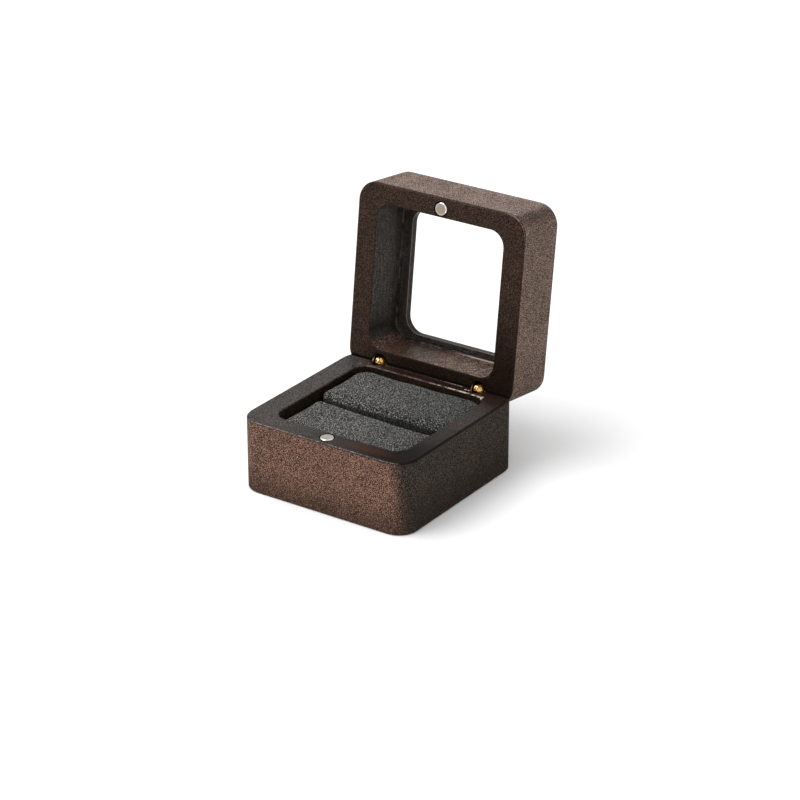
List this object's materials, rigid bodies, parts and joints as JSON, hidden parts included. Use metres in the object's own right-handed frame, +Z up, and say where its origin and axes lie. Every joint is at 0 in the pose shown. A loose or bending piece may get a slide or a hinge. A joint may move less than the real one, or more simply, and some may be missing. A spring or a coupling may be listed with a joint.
{
  "type": "ring box",
  "caption": "Square dark wooden ring box with rounded corners, a hinged window lid on barrel hinges, suede pads with a ring slot between them, and a magnet catch.",
  "frame": {"origin": "centre of the underside of the base, which stands flat", "axes": "+Z up; +X across the width, along the lid's pivot line; +Y towards the hinges, so the open lid stands at the +Y side"},
  "size_m": [0.055, 0.0751, 0.0727],
  "materials": {
    "dark_walnut": "satin lacquered dark walnut",
    "clear_pane": "clear, polished",
    "grey_suede": "charcoal-grey suede, short nap",
    "foam": "soft foam, hidden",
    "board": "stiff grey board, hidden",
    "nickel": "nickel-plated disc",
    "polished_brass": "polished brass"
  },
  "bodies": {
    "base": {"base_block": "dark_walnut", "insert_board": "board", "front_pad_core": "foam", "front_pad_cover": "grey_suede", "rear_pad_core": "foam", "rear_pad_cover": "grey_suede", "base_magnet": "nickel", "hinge_base_barrel_left": "polished_brass", "hinge_base_barrel_right": "polished_brass", "hinge_pin_left": "polished_brass", "hinge_pin_right": "polished_brass"},
    "lid": {"lid_frame": "dark_walnut", "window_pane": "clear_pane", "lid_magnet": "nickel", "hinge_lid_barrel_left": "polished_brass", "hinge_lid_barrel_right": "polished_brass"}
  },
  "joints": [
    {"name": "lid_hinge", "type": "hinge", "parent": "base", "child": "lid", "pos_m": [0, 0.02407, 0.02155], "axis": [1, 0, 0], "range_deg": [0, 97]}
  ]
}
